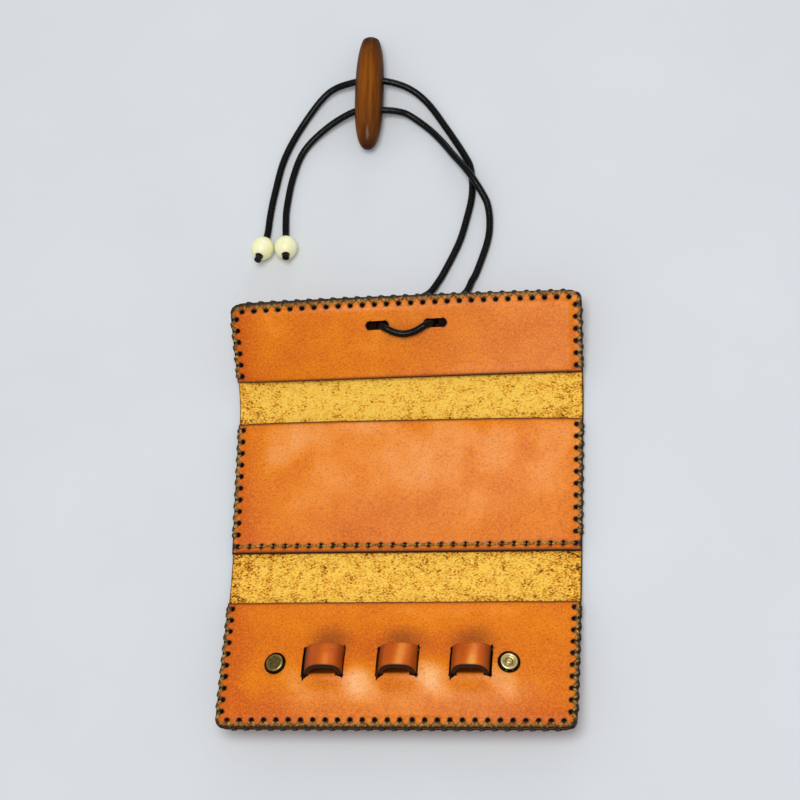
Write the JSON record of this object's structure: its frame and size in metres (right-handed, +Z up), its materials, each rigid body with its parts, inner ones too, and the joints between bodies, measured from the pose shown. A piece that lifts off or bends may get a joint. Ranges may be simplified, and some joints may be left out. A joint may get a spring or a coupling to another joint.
{
  "type": "plectrum case",
  "caption": "Folding leather case for plectra, shown open: laced slip pockets, a woven strip of upright plectrum loops, and a tie cord with a wooden toggle and beads.",
  "frame": {"origin": "on the surface that the case lies on, below the middle of the opened case", "axes": "+X to the case's right, +Y from the lower edge towards the flap, +Z up out of the open pockets"},
  "size_m": [0.117, 0.2454, 0.0245],
  "materials": {
    "cover_leather": "yellow-tan suede flesh side inside, plain tan grain outside, dark dyed edges",
    "pocket_leather": "orange-tan smooth grain leather, satin, dark dyed edges",
    "strip_leather": "orange-brown satin leather strip with dark burnished edges",
    "antique_brass": "antique brass, dark in the recesses",
    "cord_leather": "round black leather cord, satin",
    "toggle_wood": "brown lacquered wood",
    "bead_cream": "cream polished bead"
  },
  "bodies": {
    "root": {"cover": "cover_leather", "flap_pocket": "pocket_leather", "middle_pocket": "pocket_leather", "lower_pocket": "pocket_leather", "loop_strip": "strip_leather", "rivet_left": "antique_brass", "rivet_right": "antique_brass", "cord_bight": "cord_leather", "cord_left": "cord_leather", "cord_right": "cord_leather", "toggle": "toggle_wood", "bead_left": "bead_cream", "bead_right": "bead_cream"}
  },
  "joints": []
}
